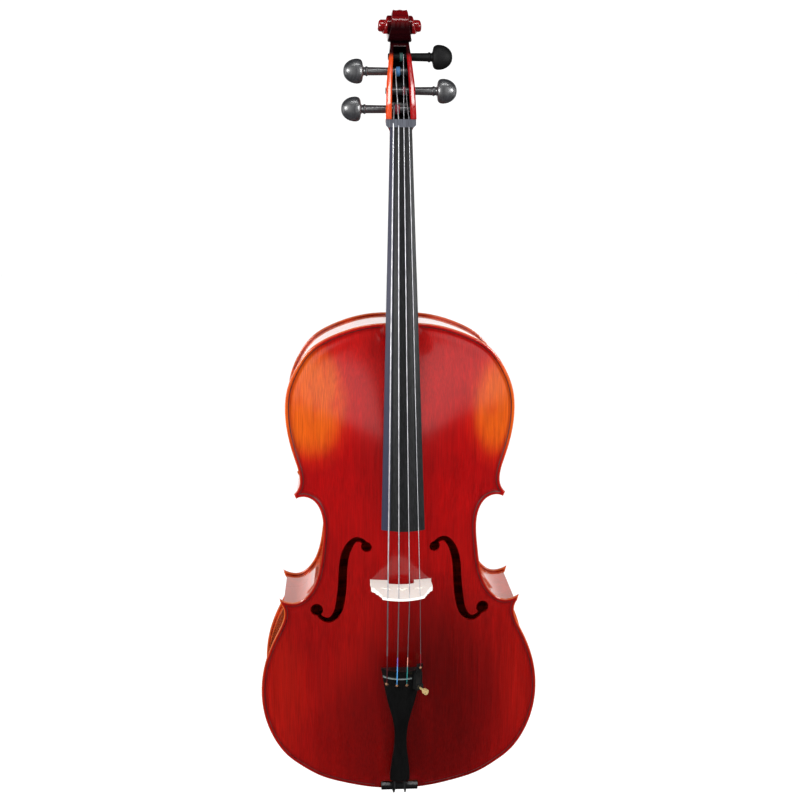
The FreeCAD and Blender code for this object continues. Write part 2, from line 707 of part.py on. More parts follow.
def endpin_tip():
    body = Part.makeCone(3.2, TIP_RADIUS, TIP_NOSE, V(0, 0, 0))
    cup = Part.makeCylinder(TIP_RADIUS, TIP_TOP - TIP_NOSE, V(0, 0, TIP_NOSE))
    socket = Part.makeCylinder(ROD_RADIUS, 20, V(0, 0, 5))
    return body.fuse(cup).cut(socket)


def ball_ends():
    balls = []
    for name in ("c", "g", "d", "a"):
        centre = string_points(name)[0]
        radius = BALL_RADIUS if name != "a" else 2.0
        balls.append(Part.makeSphere(radius, centre).cut(string_shape(name)))
    return balls


def bass_bar():
    side = [(-55, 130), (-55, 140), (-48, 400), (-55, 660), (-55, 670), (-95, 670), (-95, 130)]
    bar = side_prism(side, 5.5)
    bar.translate(V(-26, 0, 0))
    return bar.common(inner_tool(-1))


def sound_post():
    post = rod(V(26, -95, 378), V(26, 95, 378), 5.5)
    return post.common(inner_tool(-1)).common(inner_tool(1))


def main():
    os.makedirs("parts", exist_ok=True)
    neck_solid = neck()
    belly = solid_plate(-1)
    strings = {name: string_shape(name) for name in STRINGS}
    all_strings = Part.makeCompound(list(strings.values()))
    saddle_solid = saddle()

    front = belly.cut(inner_tool(-1)).cut(sound_hole()).cut(mirrored(sound_hole()))
    front = front.cut(purfling(-1)).cut(neck_solid).cut(saddle_solid)
    save("front_plate", front)
    save("purfling_front", purfling(-1).cut(outer_tool(-1)).cut(neck_solid).cut(saddle_solid))

    back = solid_plate(1).fuse(button()).cut(inner_tool(1)).cut(purfling(1))
    save("back_plate", back.removeSplitter())
    save("purfling_back", purfling(1).cut(outer_tool(1)))

    plug_hole = Part.makeCone(13.045, 12.02, 41, V(0, 0, RIB_BOTTOM - 1))
    ribs = strips(OVERHANG, OVERHANG + RIB_THICK, -RIB_HALF, RIB_HALF)
    for bout, rib in zip(("upper", "waist", "lower"), ribs):
        save("rib_" + bout + "_treble", rib.cut(neck_solid).cut(plug_hole))
        save("rib_" + bout + "_bass", mirrored(rib).cut(neck_solid).cut(plug_hole))

    top_block, end_block = end_blocks()
    corners = corner_blocks()
    blocks = Part.makeCompound([top_block, end_block] + corners)
    save("top_block", top_block.cut(neck_solid))
    save("end_block", end_block.cut(plug_hole))
    save("corner_blocks", Part.makeCompound(corners))
    for name, y0, y1 in (("front", -RIB_HALF, -RIB_HALF + LINING_TALL),
                         ("back", RIB_HALF - LINING_TALL, RIB_HALF)):
        inside = OVERHANG + RIB_THICK
        right = strips(inside, inside + LINING_THICK, y0, y1)
        pieces = [strip.cut(blocks) for strip in right + [mirrored(strip) for strip in right]]
        save("linings_" + name, Part.makeCompound(pieces))
    save("bass_bar", bass_bar())
    save("sound_post", sound_post())

    save("neck", neck_solid)
    save("fingerboard", fingerboard())
    save("nut", nut_shape().cut(all_strings).cut(neck_solid))
    save("bridge", bridge_shape(belly).cut(all_strings))
    for name, shape in strings.items():
        save("string_" + name, shape)
        save("string_winding_" + name, winding(name))
        save("peg_" + name, peg_shape(PEGS[name]))
    save("string_ball_ends", Part.makeCompound(ball_ends()))

    frame = tuner_move(tuner_frame())
    nut_below = tuner_move(clamp_nut())
    tail = tailpiece().cut(all_strings).cut(frame).cut(tailpiece_fret()).cut(tail_cord())
    tail = tail.cut(nut_below)
    save("tailpiece", tail)
    save("tailpiece_fret", tailpiece_fret().cut(all_strings).cut(frame))
    save("tuner_frame", frame)
    save("tuner_lever", tuner_move(tuner_lever()))
    save("tuner_screw", tuner_move(tuner_screw()))
    save("tuner_clamp_nut", nut_below)

    save("saddle", saddle_solid)
    save("tail_cord", tail_cord())
    save("cord_ferrules", Part.makeCompound(cord_ferrules()))
    save("endpin_plug", endpin_plug())
    save("endpin_ferrule", endpin_ferrule())
    save("endpin_rod", Part.makeCylinder(ROD_RADIUS, ROD_TOP - 5, V(0, 0, 5)))
    save("endpin_screw", endpin_screw())
    save("endpin_tip", endpin_tip())


main()
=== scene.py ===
import json
import math

import bpy
import numpy as np
from mathutils import Matrix, Vector
from mathutils.geometry import delaunay_2d_cdt


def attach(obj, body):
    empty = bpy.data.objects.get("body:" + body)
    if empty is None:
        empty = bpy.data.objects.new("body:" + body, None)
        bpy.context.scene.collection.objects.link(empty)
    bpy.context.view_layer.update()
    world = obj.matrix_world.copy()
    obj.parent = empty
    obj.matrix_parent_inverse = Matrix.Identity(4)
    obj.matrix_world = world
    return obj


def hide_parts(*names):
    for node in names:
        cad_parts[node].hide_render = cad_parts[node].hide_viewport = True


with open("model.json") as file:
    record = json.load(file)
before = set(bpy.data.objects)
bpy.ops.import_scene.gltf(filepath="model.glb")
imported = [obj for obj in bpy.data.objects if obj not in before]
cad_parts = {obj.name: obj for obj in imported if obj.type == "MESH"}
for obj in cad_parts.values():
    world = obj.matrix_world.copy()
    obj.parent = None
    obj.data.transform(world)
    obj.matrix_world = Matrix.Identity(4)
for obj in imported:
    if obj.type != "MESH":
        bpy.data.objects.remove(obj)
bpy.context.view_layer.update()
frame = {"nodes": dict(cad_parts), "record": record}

# Everything is in metres, in the frame of the CAD model: X to the treble side, -Y to the front, Z up.
MM = 0.001

# The camera: its place in metres, turns in degrees, focal length and sensor width in millimetres.
CAMERA_PLACE = (-0.0901, -1.6083, 1.0008)
CAMERA_YAW = 3.311
CAMERA_PITCH = 11.967
CAMERA_ROLL = 0.179
CAMERA_LENS = 47.76
CAMERA_SENSOR = 36

# The body, as the CAD model has it.
RIB_HALF = 60 * MM
EDGE_Y = 64.8 * MM
PLATE_THICK = 4.5 * MM
BODY_MID = 0.410
BODY_HALF = 0.3775
FRONT_ARCH = 22.2 * MM
BACK_ARCH = 20.0 * MM
ARCH_SPREAD = 1.04
PURFLING_FLOOR = 63.25 * MM
PURFLING_DEPTH = 1.4 * MM
PURFLING_PROUD = 0.05 * MM

# Where the walls of the sound holes lie: across from the middle, up the body, and in front of a depth.
HOLE_ACROSS = (0.04, 0.145)
HOLE_UP = (0.30, 0.48)
HOLE_DEPTH = -0.0605
HOLE_LOOP = 0.15

# Spacing of a plate's points, in mm: rings at a distance inside its edge, then a grid further in.
PLATE_RINGS = [(0.35, 3), (0.8, 3), (1.4, 3), (2.0, 3), (3.2, 3), (4.6, 3), (6, 3.5), (7.5, 3.5),
               (9.5, 4), (12, 4), (15, 4.5), (19, 5), (23, 5)]
GRID_STEP = 5
GRID_INSET = 27
HOLE_CLEARANCE = 1.6


# ---------------------------------------------------------------- meshes

# A piece of the visual model, riding on a body: smooth, but for edges sharper than an angle in degrees.
def make_object(name, vertices, faces, material, body, replaced=(), sharp=40):
    mesh = bpy.data.meshes.new(name)
    mesh.from_pydata([tuple(v) for v in vertices], [], [tuple(f) for f in faces])
    mesh.validate()
    mesh.shade_smooth()
    mesh.set_sharp_from_angle(angle=math.radians(sharp))
    mesh.materials.append(material)
    obj = bpy.data.objects.new(name, mesh)
    bpy.context.scene.collection.objects.link(obj)
    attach(obj, body)
    if replaced:
        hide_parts(*replaced)
    return obj


def cad_points(node):
    mesh = frame["nodes"][node].data
    points = np.zeros(len(mesh.vertices) * 3)
    mesh.vertices.foreach_get("co", points)
    return points.reshape(-1, 3)


def cad_faces(node):
    return [list(p.vertices) for p in frame["nodes"][node].data.polygons]


# A CAD mesh with its doubled points joined, as points and faces.
def welded(node):
    points = cad_points(node)
    place = {}
    index = [place.setdefault(tuple(np.round(p, 6)), len(place)) for p in points]
    merged = np.array(list(place))
    faces = [[index[v] for v in face] for face in cad_faces(node)]
    return merged, [f for f in faces if len(set(f)) == len(f)]


# Closed chains of the edges that belong to only one of the given faces.
def border_loops(faces):
    following = {}
    edges = {(a, b) for f in faces for a, b in zip(f, f[1:] + f[:1])}
    for a, b in edges:
        if (b, a) not in edges:
            following[a] = b
    loops = []
    while following:
        start, here = following.popitem()
        loop = [start]
        while here in following:
            loop.append(here)
            here = following.pop(here)
        loops.append(loop)
    return loops


def loop_length(points):
    return np.linalg.norm(points - np.roll(points, -1, 0), axis=1).sum()


# The plate's outline, seen from the front, from its flat glued face.
def plate_outline(node, side):
    points, faces = welded(node)
    flat = [f for f in faces if np.all(np.abs(points[f, 1] - side * RIB_HALF) < 1e-5)]
    loops = [points[loop][:, [0, 2]] for loop in border_loops(flat)]
    return max(loops, key=loop_length)


# The sound holes' outlines: the outer edges of the walls that stand square to the plate.
def hole_outlines(node):
    points, faces = welded(node)
    walls = []
    for face in faces:
        a, b, c = points[face[0]], points[face[1]], points[face[2]]
        normal = np.cross(b - a, c - a)
        middle = points[face].mean(0)
        near = (HOLE_ACROSS[0] < abs(middle[0]) < HOLE_ACROSS[1]
                and HOLE_UP[0] < middle[2] < HOLE_UP[1] and middle[1] < HOLE_DEPTH)
        if near and abs(normal[1]) < 0.3 * np.linalg.norm(normal):
            walls.append(face)
    loops = [points[loop] for loop in border_loops(walls)]
    loops = [loop for loop in loops if loop_length(loop) > HOLE_LOOP]
    outer = []
    for side in (-1, 1):
        own = [loop for loop in loops if loop[:, 0].mean() * side > 0]
        outer.append(min(own, key=lambda loop: loop[:, 1].mean())[:, [0, 2]])
    return outer


# Points along a closed loop no further apart than a step; corners stay.
def dense_loop(loop, step):
    result = []
    for a, b in zip(loop, np.roll(loop, -1, 0)):
        count = max(1, int(np.ceil(np.linalg.norm(b - a) / step)))
        result += [a + (b - a) * i / count for i in range(count)]
    return np.array(result)


# The loop without points closer together than a step.
def thinned_loop(loop, step):
    kept = [loop[0]]
    for before, here, after in zip(loop, loop[1:], np.roll(loop, -2, 0)):
        one, two = here - before, after - here
        size = np.linalg.norm(one) * np.linalg.norm(two)
        corner = size > 0 and np.dot(one, two) < 0.9 * size
        if corner or np.linalg.norm(here - kept[-1]) > step:
            kept.append(here)
    return np.array(kept)


# How far each point is from a closed loop.
def distance_to(points, loop):
    result = np.full(len(points), np.inf)
    for a, b in zip(loop, np.roll(loop, -1, 0)):
        along = b - a
        size = along @ along
        if size == 0:
            continue
        share = np.clip(((points - a) @ along) / size, 0, 1)
        near = a + share[:, None] * along
        result = np.minimum(result, np.hypot(*(points - near).T))
    return result


# Whether each point lies inside a closed loop.
def inside_loop(points, loop):
    x, z = points[:, 0], points[:, 1]
    inside = np.zeros(len(points), bool)
    for (x1, z1), (x2, z2) in zip(loop, np.roll(loop, -1, 0)):
        if z1 == z2:
            continue
        crosses = (z1 > z) != (z2 > z)
        inside ^= crosses & (x < (x2 - x1) * (z - z1) / (z2 - z1) + x1)
    return inside


def smooth_step(value):
    value = np.clip(value, 0, 1)
    return value * value * (3 - 2 * value)


# The arching: full height along the middle, falling to nothing at the outline.
def arch_height(x, z, height):
    z_mm = z / MM
    reach = np.where(z_mm > 450, 150.0, 128.0)
    waist = np.exp(-np.abs((z_mm - 450) / reach) ** 2.3)
    half = (219 - 0.045 * (z_mm - 200) - 88.5 * waist) * MM
    along = (z - BODY_MID) / BODY_HALF
    out = np.sqrt((x / half) ** 2 + along ** 6) * ARCH_SPREAD
    return height * (0.5 + 0.5 * np.cos(np.pi * np.minimum(out, 1)))


# Height of a plate's face beyond its edge: a rounded rim, the hollow beside it and the arching.
def plate_lift(x, z, edge, height):
    rim = np.clip(1 - edge / (2.0 * MM), 0, 1)
    rounding = -1.7 * MM * (1 - np.sqrt(1 - rim ** 2))
    crest = 0.25 * MM * np.exp(-((edge - 3.2 * MM) / (1.8 * MM)) ** 2)
    hollow = -0.9 * MM * np.exp(-((edge - 10 * MM) / (4.5 * MM)) ** 2)
    arch = arch_height(x, z, height) * smooth_step((edge - 5 * MM) / (32 * MM))
    return rounding + crest + hollow + arch


# Points at one distance inside a loop.
def ring_points(loop, inset, step):
    dense = dense_loop(loop, step)
    along = np.roll(dense, -1, 0) - np.roll(dense, 1, 0)
    along /= np.linalg.norm(along, axis=1)[:, None]
    points = []
    for turn in (1, -1):
        moved = dense + inset * turn * np.stack([-along[:, 1], along[:, 0]], 1)
        points.append(moved[inside_loop(moved, loop)])
    points = np.concatenate(points)
    return points[distance_to(points, loop) > inset * 0.97]


# Points of a triangular grid that lie further inside a loop than the inset.
def grid_points(loop, step, inset):
    low, high = loop.min(0), loop.max(0)
    xs = np.arange(low[0], high[0], step)
    zs = np.arange(low[1], high[1], step * 0.866)
    shift = (np.arange(len(zs)) % 2) * step / 2
    points = np.array([(x + s, z) for z, s in zip(zs, shift) for x in xs])
    points = points[inside_loop(points, loop)]
    return points[distance_to(points, loop) > inset]


# A plate seen from the front: its points, and the triangles between them that leave the holes open.
def plate_triangles(outline, holes):
    fill = [ring_points(outline, inset * MM, step * MM) for inset, step in PLATE_RINGS]
    fill.append(grid_points(outline, GRID_STEP * MM, GRID_INSET * MM))
    fill = np.concatenate(fill)
    for hole in holes:
        clear = distance_to(fill, hole) > HOLE_CLEARANCE * MM
        fill = fill[clear & ~inside_loop(fill, hole)]
    loops = [outline] + holes
    edges, start = [], 0
    for loop in loops:
        count = len(loop)
        edges += [(start + i, start + (i + 1) % count) for i in range(count)]
        start += count
    flat = np.concatenate(loops + [fill])
    made = delaunay_2d_cdt([Vector(p) for p in flat], edges, [], 0, 1e-7)
    flat = np.array([tuple(v) for v in made[0]])
    triangles = np.array([list(f) for f in made[2] if len(f) == 3])
    middles = flat[triangles].mean(1)
    keep = inside_loop(middles, outline)
    for hole in holes:
        keep &= ~inside_loop(middles, hole)
    return flat, triangles[keep]


# An arched plate as one closed mesh. Its points know how many mm they are from the edge.
def build_plate(name, node, side, height, holes, material):
    outline = dense_loop(thinned_loop(plate_outline(node, side), 1.5 * MM), 3 * MM)
    holes = [dense_loop(thinned_loop(hole, 1.0 * MM), 2 * MM) for hole in holes]
    flat, triangles = plate_triangles(outline, holes)
    x, z = flat[:, 0], flat[:, 1]
    edge = distance_to(flat, outline)
    outer = EDGE_Y + plate_lift(x, z, edge, height)
    under = np.clip(1 - edge / (1.5 * MM), 0, 1)
    inner = np.maximum(RIB_HALF, outer - PLATE_THICK * (1 + 0.2 * smooth_step(1 - edge / 0.03)))
    inner += 1.2 * MM * (1 - np.sqrt(1 - under ** 2))
    count = len(flat)
    points = [np.stack([x, side * outer, z], 1), np.stack([x, side * inner, z], 1)]
    a, b, c = flat[triangles].transpose(1, 0, 2)
    area = (b[:, 0] - a[:, 0]) * (c[:, 1] - a[:, 1]) - (b[:, 1] - a[:, 1]) * (c[:, 0] - a[:, 0])
    flip = (area > 0) == (side > 0)
    triangles[flip] = triangles[flip][:, ::-1]
    faces = [list(t) for t in triangles] + [[v + count for v in t[::-1]] for t in triangles]
    used = {(t[i], t[(i + 1) % 3]) for t in triangles for i in range(3)}
    walls = [[b, a, a + count, b + count] for a, b in used if (b, a) not in used]
    obj = make_object(name, np.concatenate(points), faces + walls, material, "cello",
                      (node,), 50)
    rim = obj.data.attributes.new("rim", "FLOAT", "POINT")
    rim.data.foreach_set("value", np.concatenate([edge, edge]) / MM)
    return outline


# The inlaid edge strip: the CAD ring, laid on the visual plate's face.
def build_purfling(name, node, side, height, outline, material):
    points, faces = welded(node)
    edge = distance_to(points[:, [0, 2]], outline)
    lift = plate_lift(points[:, 0], points[:, 2], edge, height)
    at_floor = side * points[:, 1] < PURFLING_FLOOR
    face_y = EDGE_Y + lift + PURFLING_PROUD
    points[:, 1] = side * np.where(at_floor, face_y - PURFLING_DEPTH, face_y)
    make_object(name, points, faces, material, "cello", (node,), 30)


# ---------------------------------------------------------------- neck and head

# Heights in mm: the fingerboard's lower end, the nut, and the top of the pegbox's hollow.
BOARD_END = 496.6
NUT_LOW = 1067.0
NUT_TOP = 1078.0
HOLLOW_TOP = 1181

# Tables up the neck, of a height and a measure in mm: depth of its back, depth of the front of the
# head's cheeks, half width of the head, depth of the pegbox's floor and half width of its hollow.
NECK_BACK = [(774, 60), (803, 60), (804.5, 48), (806, 28), (808, 10), (812, -13), (819, -36),
             (832, -56), (850, -64.9), (1045, -34.0), (1056, -31), (1068, -26.5), (1080, -20),
             (1110, -10), (1150, 3), (1180, 11), (1205, 16.5), (1211, 17)]
CHEEK_FRONT = [(1078, -60), (1100, -52.8), (1127, -42.3), (1155, -31), (1184, -18.5), (1192, -11),
               (1200, -6), (1211, -4)]
HEAD_HALF = [(1045, 16.2), (1064, 15.9), (1071, 21.6), (1083, 21.8), (1129, 20.1),
             (1170, 15.5), (1182, 13.7), (1195, 13), (1211, 12.7)]
HOLLOW_FLOOR = [(1078, -34), (1081, -27), (1110, -16), (1150, -4), (1178, 3), (1181, -19.5)]
HOLLOW_HALF = [(1078, 13.5), (1129, 12), (1170, 9.6), (1182, 9.2)]

# The scroll: depth and height of its eye, then turning angle, radius and half width of the winding
# band, from the back over the top.
SCROLL_PLACE = (-8, 1210)
SCROLL_STEP = 5
SCROLL_FLUTE = 0.8
SCROLL_BAND = [(-25, 25, 13.2), (0, 25, 13), (50, 23.6, 11.6), (90, 22.6, 10.6), (180, 23.6, 13),
               (250, 23, 17.2), (270, 22, 17.6), (360, 18, 18), (450, 14.8, 18.8), (540, 13.3, 21),
               (630, 11.2, 24.8), (720, 9.8, 28.2), (900, 8.4, 31.2), (1060, 7.7, 31.3)]


def read_table(table, value, column=1):
    return np.interp(value, [row[0] for row in table], [row[column] for row in table])


# The same, with the table's corners rounded off over a reach to each side.
def read_smooth(table, value, reach):
    return np.mean([read_table(table, value + reach * (i - 2) / 2) for i in range(5)])


def board_half_at(z):
    return 31.5 - 15.9 * (z - BOARD_END) / (NUT_LOW - BOARD_END)


def board_under_at(z):
    return -131.6 + 83.7 * (z - BOARD_END) / (NUT_LOW - BOARD_END)


# One level of the neck or head: round at the back, flat or hollowed in front.
def neck_ring(z, in_head):
    front = read_table(CHEEK_FRONT, z) if in_head else board_under_at(z)
    back = read_smooth(NECK_BACK, z, 4.0) if 860 < z < 1205 else read_table(NECK_BACK, z)
    half = read_smooth(HEAD_HALF, z, 3.0) if z > 1048 else board_half_at(z)
    heel = 1 - smooth_step((z - 806) / 45)
    square = smooth_step((z - 1050) / 26)
    power = 2.3 + 8 * max(heel, square)
    flute = 1.7 * smooth_step((z - 1062) / 24)
    points = []
    for i in range(33):
        turn = math.pi * i / 32
        cosine = math.cos(turn)
        share = math.sin(turn) ** (2 / power)
        x = -math.copysign(abs(cosine) ** (2 / power), cosine)
        width = half * (1 - 0.45 * heel * share)
        groove = flute * math.sin(math.pi * x) ** 2 * share ** 8
        points.append((x * width, front + (back - front) * share - groove))
    hollow = in_head and z <= HOLLOW_TOP
    inner = read_table(HOLLOW_HALF, z) if hollow else half * 0.6
    depth = max(read_table(HOLLOW_FLOOR, z) - front, 0) if hollow else 0
    bevel = min(1.0, depth)
    right = [(half - 0.9, front - 0.5 * bevel), (half - 2.2, front - 0.9 * bevel),
             (inner + 1.5, front - 0.9 * bevel), (inner + 0.5, front - 0.3 * bevel),
             (inner, front + 0.5 * bevel)]
    right += [(inner, front + depth * share) for share in (0.3, 0.6, 0.9)]
    right += [(inner * share, front + depth) for share in (0.92, 0.5, 0.15)]
    points += right + [(-x, y) for x, y in reversed(right)]
    return [(x * MM, y * MM, z * MM) for x, y in points]


# A closed skin over rings of points, with a flat cap at each end.
def skin(rings):
    count = len(rings[0])
    vertices = [point for ring in rings for point in ring]
    faces = []
    for row in range(len(rings) - 1):
        for i in range(count):
            j = (i + 1) % count
            low, high = row * count, (row + 1) * count
            faces.append((low + i, low + j, high + j, high + i))
    last = (len(rings) - 1) * count
    faces.append(tuple(range(count))[::-1])
    faces.append(tuple(last + i for i in range(count)))
    return vertices, faces


# The levels lie close together where the section changes quickly: at the heel, the nut and the throat.
def build_neck(material):
    low = list(np.arange(774, 803, 4)) + list(np.arange(803, 812, 0.5))
    low += list(np.arange(812, 860, 3)) + list(np.arange(860, 1045, 12))
    low += list(np.arange(1045, NUT_TOP, 2.0)) + [NUT_TOP - 0.02]
    high = [NUT_TOP, 1079, 1081, 1084] + list(np.arange(1088, 1178, 4))
    high += [1178, 1179.5, HOLLOW_TOP, 1183, 1185, 1188, 1192, 1196, 1200, 1205, 1211]
    rings = [neck_ring(z, False) for z in low] + [neck_ring(z, True) for z in high]
    vertices, faces = skin(rings)
    make_object("neck_and_pegbox", vertices, faces, material, "cello", ("neck",), 48)


def build_scroll(material):
    rings = []
    for angle in range(SCROLL_BAND[0][0], SCROLL_BAND[-1][0] + 1, SCROLL_STEP):
        radius = read_table(SCROLL_BAND, angle)
        half = read_table(SCROLL_BAND, angle, 2)
        flute = SCROLL_FLUTE * (1 - smooth_step((angle - 150) / 90))
        turn = math.radians(angle)
        ring = []
        for i in range(25):
            share = i / 12 - 1
            across = share * (1 - 0.03 * abs(share) ** 8)
            edge = 0.9 * max(0, abs(share) - 0.9) / 0.1
            ring.append((across * half, radius - flute * math.sin(math.pi * share) ** 2 - edge ** 2))
        flank = [(half, radius - 2.2), (half - 0.7, radius - 4), (half - 1.2, max(radius - 6, 2.5)),
                 (half - 1.2, 1.5)]
        ring += flank + [(-x, r) for x, r in reversed(flank)]
        y, z = SCROLL_PLACE
        rings.append([(x * MM, (y + r * math.cos(turn)) * MM, (z + r * math.sin(turn)) * MM)
                      for x, r in ring])
    vertices, faces = skin(rings)
    faces = [face[::-1] for face in faces]
    make_object("scroll", vertices, faces, material, "cello")


# Tuning pegs: side of the head, axis height and depth, where the head starts, thin end.
PEGS = {"c": (-1, 1093.0, -35.0, 56.5, 22.2), "a": (1, 1119.0, -27.0, 53.5, 21.2),
        "g": (-1, 1146.6, -18.0, 53.0, 19.0), "d": (1, 1167.3, -11.0, 48.0, 16.8)}
# Place along the axis from where the head starts, half height and half thickness.
PEG_SHAPE = [(-7.5, 6.0, 6.0), (-6.8, 6.3, 6.3), (-6.2, 7.0, 7.0), (-4.6, 7.2, 7.2), (-3.6, 6.6, 6.6),
             (-3, 5.9, 5.9), (-1.5, 6.1, 6.1), (-0.6, 7.4, 6.8), (-0.1, 9.6, 7.4), (0.3, 12.0, 7.9),
             (1.2, 14.4, 8.5), (3, 16.2, 9.3), (5.5, 17.2, 9.9), (8.5, 17.5, 10.2), (12, 17.2, 10.1),
             (16, 16.3, 9.7), (20, 14.5, 8.9), (23.5, 11.9, 7.8), (26, 9.1, 6.3), (27.6, 6.1, 4.4),
             (28.4, 2.5, 1.9)]


# The highest peg wears a darker, matt copy of the ebony, painted shade for a head that catches no
# light; the others are polished.
def build_pegs(polished, painted_shade_matt):
    for name, (side, height, depth, head, end) in PEGS.items():
        shape = [(-end, 4.2, 4.2), (-end + 0.6, 4.9, 4.9), (-end + 1.2, 5.0, 5.0), (12, 5.5, 5.5)]
        shape += [(head + x, tall, thick) for x, tall, thick in PEG_SHAPE]
        rings = []
        for x, tall, thick in shape:
            ring = []
            for i in range(48):
                turn = 2 * math.pi * i / 48
                ring.append((side * x * MM, (depth + thick * math.cos(turn)) * MM,
                             (height + side * tall * math.sin(turn)) * MM))
            rings.append(ring)
        vertices, faces = skin(rings)
        material = painted_shade_matt if name == "d" else polished
        make_object("peg_%s_turned" % name, vertices, faces, material, name + "_peg",
                    ("peg_" + name,), 35)


# ---------------------------------------------------------------- materials

# Where the finish changes and where shade or a dark reflection is painted, in metres. All are heights,
# but for the throat's depth and half width.
SHAFT_ZONE = (0.845, 1.052)
CHEEK_ZONE = (1.077, 1.168)
HOLLOW_ZONE = (1.0781, 1.189)
NECK_TOP_ZONE = (1.170, 1.1895)
THROAT_TOP = (1.231, 1.204)
THROAT_LOW = (1.183, 1.187)
THROAT_DEPTH = (-0.004, -0.014)
THROAT_HALF = (0.0185, 0.0170)
WAIST_ZONE = (0.36, 0.56)
BRIDGE_ZONE = (0.401, 0.397)


# A material's nodes, with short ways to add and join them.
class Graph:
    def __init__(self, name):
        self.material = bpy.data.materials.new(name)
        self.material.use_nodes = True
        self.tree = self.material.node_tree
        self.shader = self.tree.nodes["Principled BSDF"]

    def add(self, kind, settings=None, **inputs):
        node = self.tree.nodes.new("ShaderNode" + kind)
        for key, value in (settings or {}).items():
            setattr(node, key, value)
        for key, value in inputs.items():
            self.put(node.inputs[key.replace("_", " ")], value)
        return node

    def put(self, socket, value):
        if isinstance(value, bpy.types.NodeSocket):
            self.tree.links.new(value, socket)
        else:
            socket.default_value = value

    def set(self, **inputs):
        for key, value in inputs.items():
            self.put(self.shader.inputs[key.replace("_", " ")], value)

    def position(self):
        return self.add("TexCoord").outputs["Object"]

    def split(self, vector):
        return self.add("SeparateXYZ", Vector=vector).outputs

    def math(self, operation, a, b=0.0, clamp=False):
        node = self.add("Math", {"operation": operation, "use_clamp": clamp})
        self.put(node.inputs[0], a)
        self.put(node.inputs[1], b)
        return node.outputs[0]

    def scaled(self, vector, scale):
        node = self.add("Mapping", Vector=vector)
        node.inputs["Scale"].default_value = scale
        return node.outputs[0]

    def noise(self, vector, scale=1.0, detail=4.0, roughness=0.55, distortion=0.0):
        node = self.add("TexNoise", Vector=vector, Scale=scale, Detail=detail,
                        Roughness=roughness, Distortion=distortion)
        return node.outputs[0]

    def span(self, value, low, high, to_low=0.0, to_high=1.0, smooth=True):
        kind = "SMOOTHSTEP" if smooth else "LINEAR"
        node = self.add("MapRange", {"interpolation_type": kind}, Value=value)
        for place, number in zip((1, 2, 3, 4), (low, high, to_low, to_high)):
            node.inputs[place].default_value = number
        return node.outputs[0]

    def mix(self, share, a, b, kind="MIX"):
        node = self.add("Mix", {"data_type": "RGBA", "blend_type": kind})
        self.put(node.inputs[0], share)
        self.put(node.inputs[6], a)
        self.put(node.inputs[7], b)
        return node.outputs[2]

    # 1 in the middle of an oval on the front, falling to 0 at its rim.
    def oval(self, xyz, centre, size):
        x = self.math("DIVIDE", self.math("SUBTRACT", xyz[0], centre[0]), size[0])
        z = self.math("DIVIDE", self.math("SUBTRACT", xyz[2], centre[1]), size[1])
        reach = self.math("ADD", self.math("MULTIPLY", x, x), self.math("MULTIPLY", z, z))
        return self.span(reach, 1.0, 0.0)

    # 1 between two values, with soft ends.
    def between(self, value, low, high, soft):
        rise = self.span(value, low - soft, low + soft)
        return self.math("MULTIPLY", rise, self.span(value, high - soft, high + soft, 1.0, 0.0))

    def times(self, *shares):
        result = shares[0]
        for share in shares[1:]:
            result = self.math("MULTIPLY", result, share)
        return result

    def bump(self, height, strength, distance):
        node = self.add("Bump", Height=height, Strength=strength, Distance=distance)
        self.set(Normal=node.outputs[0])


def colour(red, green, blue):
    def linear(value):
        share = value / 255
        return share / 12.92 if share <= 0.04045 else ((share + 0.055) / 1.055) ** 2.4
    return (linear(red), linear(green), linear(blue), 1.0)


# Long wood fibres along Z, as a brightness to multiply a colour by.
def fibres(g, place, width, length, low, high):
    fine = g.noise(g.scaled(place, (1 / width, 1 / width, 1 / length)), 1.0, 3.0, 0.6)
    return fine, g.span(fine, 0.30, 0.70, low, high)


def grey(g, value):
    return g.add("CombineXYZ", X=value, Y=value, Z=value).outputs[0]


def gloss(g, roughness, coat, coat_roughness):
    g.set(Roughness=roughness, Specular_IOR_Level=0.02)
    g.set(Coat_Weight=coat, Coat_Roughness=coat_roughness, Coat_IOR=1.5)


